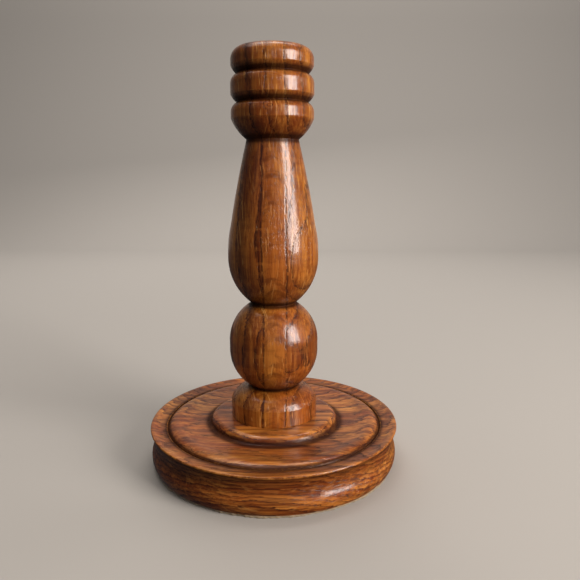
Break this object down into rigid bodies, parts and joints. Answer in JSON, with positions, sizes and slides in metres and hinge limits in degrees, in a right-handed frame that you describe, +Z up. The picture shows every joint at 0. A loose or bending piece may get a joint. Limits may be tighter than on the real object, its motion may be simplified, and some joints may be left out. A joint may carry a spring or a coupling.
{
  "type": "candlestick",
  "caption": "Turned oak candlestick: a ringed collar with a candle socket, pear and ball stem on a round moulded base.",
  "frame": {"origin": "centre of the underside of the baize, on the surface that the candlestick stands on", "axes": "+Z up the turning axis; +X to the right and +Y away from someone who faces it, with the grain of the base along X"},
  "size_m": [0.137, 0.137, 0.2198],
  "materials": {
    "stem_oak": "satin varnish, grain upright",
    "base_oak": "satin varnish, grain across the disc",
    "cup_brass": "spun, slightly tarnished",
    "screw_steel": "bright zinc plated",
    "baize": "pale felted baize"
  },
  "bodies": {
    "root": {"stem": "stem_oak", "base": "base_oak", "candle_cup": "cup_brass", "base_screw": "screw_steel", "felt_pad": "baize"}
  },
  "joints": []
}
